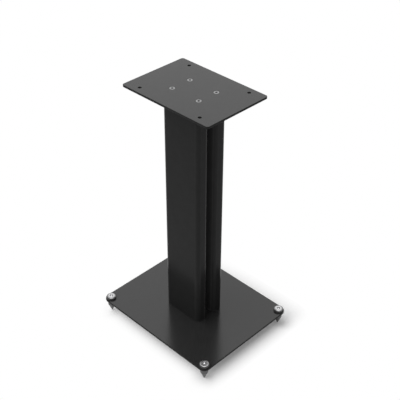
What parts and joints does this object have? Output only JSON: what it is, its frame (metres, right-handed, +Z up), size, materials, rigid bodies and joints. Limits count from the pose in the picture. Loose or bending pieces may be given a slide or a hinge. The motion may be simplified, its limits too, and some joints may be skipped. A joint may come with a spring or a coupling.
{
  "type": "speaker stand",
  "caption": "Tall loudspeaker stand: a flat base on levelling spikes, twin black pillars with a cable gap between them, and a flat drilled top plate.",
  "frame": {"origin": "on the floor, under the middle of the stand, at the level of the spikes' points", "axes": "+Z up, +X across the two pillars towards the right one, -Y towards the front, so the cable gap runs along Y"},
  "size_m": [0.279, 0.342, 0.614],
  "materials": {
    "black_paint": "satin",
    "bright_screw": "polished",
    "plain_steel": "matt",
    "spike_steel": "satin",
    "stud_steel": "satin",
    "chrome": "polished",
    "black_rubber": "satin"
  },
  "bodies": {
    "stand": {"base_plate": "black_paint", "top_plate": "black_paint", "left_pillar": "black_paint", "right_pillar": "black_paint", "left_lower_plug": "plain_steel", "left_upper_plug": "plain_steel", "right_lower_plug": "plain_steel", "right_upper_plug": "plain_steel", "base_plate_screws": "bright_screw", "top_plate_screws": "bright_screw"},
    "front_left_foot": {"front_left_spike": "spike_steel"},
    "front_left_stud": {"front_left_stud": "stud_steel"},
    "front_left_ring": {"front_left_grip_ring": "black_rubber"},
    "front_left_nut": {"front_left_lock_nut": "chrome"},
    "front_right_foot": {"front_right_spike": "spike_steel"},
    "front_right_stud": {"front_right_stud": "stud_steel"},
    "front_right_ring": {"front_right_grip_ring": "black_rubber"},
    "front_right_nut": {"front_right_lock_nut": "chrome"},
    "back_left_foot": {"back_left_spike": "spike_steel"},
    "back_left_stud": {"back_left_stud": "stud_steel"},
    "back_left_ring": {"back_left_grip_ring": "black_rubber"},
    "back_left_nut": {"back_left_lock_nut": "chrome"},
    "back_right_foot": {"back_right_spike": "spike_steel"},
    "back_right_stud": {"back_right_stud": "stud_steel"},
    "back_right_ring": {"back_right_grip_ring": "black_rubber"},
    "back_right_nut": {"back_right_lock_nut": "chrome"}
  },
  "joints": [
    {"name": "front_left_foot_lowering", "type": "slide", "parent": "stand", "child": "front_left_foot", "axis": [0, 0, -1], "range_m": [0, 0.00375]},
    {"name": "front_left_stud_turn", "type": "hinge", "parent": "front_left_foot", "child": "front_left_stud", "pos_m": [-0.1255, -0.157, 0.0388], "axis": [0, 0, -1], "range_deg": [0, 1080]},
    {"name": "front_left_nut_lift", "type": "slide", "parent": "stand", "child": "front_left_ring", "axis": [0, 0, 1], "range_m": [0, 0.00125]},
    {"name": "front_left_nut_turn", "type": "hinge", "parent": "front_left_ring", "child": "front_left_nut", "pos_m": [-0.1255, -0.157, 0.0388], "axis": [0, 0, 1], "range_deg": [0, 360]},
    {"name": "front_right_foot_lowering", "type": "slide", "parent": "stand", "child": "front_right_foot", "axis": [0, 0, -1], "range_m": [0, 0.00375]},
    {"name": "front_right_stud_turn", "type": "hinge", "parent": "front_right_foot", "child": "front_right_stud", "pos_m": [0.1255, -0.157, 0.0388], "axis": [0, 0, -1], "range_deg": [0, 1080]},
    {"name": "front_right_nut_lift", "type": "slide", "parent": "stand", "child": "front_right_ring", "axis": [0, 0, 1], "range_m": [0, 0.00125]},
    {"name": "front_right_nut_turn", "type": "hinge", "parent": "front_right_ring", "child": "front_right_nut", "pos_m": [0.1255, -0.157, 0.0388], "axis": [0, 0, 1], "range_deg": [0, 360]},
    {"name": "back_left_foot_lowering", "type": "slide", "parent": "stand", "child": "back_left_foot", "axis": [0, 0, -1], "range_m": [0, 0.00375]},
    {"name": "back_left_stud_turn", "type": "hinge", "parent": "back_left_foot", "child": "back_left_stud", "pos_m": [-0.1255, 0.157, 0.0388], "axis": [0, 0, -1], "range_deg": [0, 1080]},
    {"name": "back_left_nut_lift", "type": "slide", "parent": "stand", "child": "back_left_ring", "axis": [0, 0, 1], "range_m": [0, 0.00125]},
    {"name": "back_left_nut_turn", "type": "hinge", "parent": "back_left_ring", "child": "back_left_nut", "pos_m": [-0.1255, 0.157, 0.0388], "axis": [0, 0, 1], "range_deg": [0, 360]},
    {"name": "back_right_foot_lowering", "type": "slide", "parent": "stand", "child": "back_right_foot", "axis": [0, 0, -1], "range_m": [0, 0.00375]},
    {"name": "back_right_stud_turn", "type": "hinge", "parent": "back_right_foot", "child": "back_right_stud", "pos_m": [0.1255, 0.157, 0.0388], "axis": [0, 0, -1], "range_deg": [0, 1080]},
    {"name": "back_right_nut_lift", "type": "slide", "parent": "stand", "child": "back_right_ring", "axis": [0, 0, 1], "range_m": [0, 0.00125]},
    {"name": "back_right_nut_turn", "type": "hinge", "parent": "back_right_ring", "child": "back_right_nut", "pos_m": [0.1255, 0.157, 0.0388], "axis": [0, 0, 1], "range_deg": [0, 360]}
  ],
  "couplings": [
    {"joint": "front_left_stud_turn", "follows": "front_left_foot_lowering", "rad_per_m": 5026.5},
    {"joint": "front_left_nut_turn", "follows": "front_left_nut_lift", "rad_per_m": 5026.5},
    {"joint": "front_right_stud_turn", "follows": "front_right_foot_lowering", "rad_per_m": 5026.5},
    {"joint": "front_right_nut_turn", "follows": "front_right_nut_lift", "rad_per_m": 5026.5},
    {"joint": "back_left_stud_turn", "follows": "back_left_foot_lowering", "rad_per_m": 5026.5},
    {"joint": "back_left_nut_turn", "follows": "back_left_nut_lift", "rad_per_m": 5026.5},
    {"joint": "back_right_stud_turn", "follows": "back_right_foot_lowering", "rad_per_m": 5026.5},
    {"joint": "back_right_nut_turn", "follows": "back_right_nut_lift", "rad_per_m": 5026.5}
  ]
}
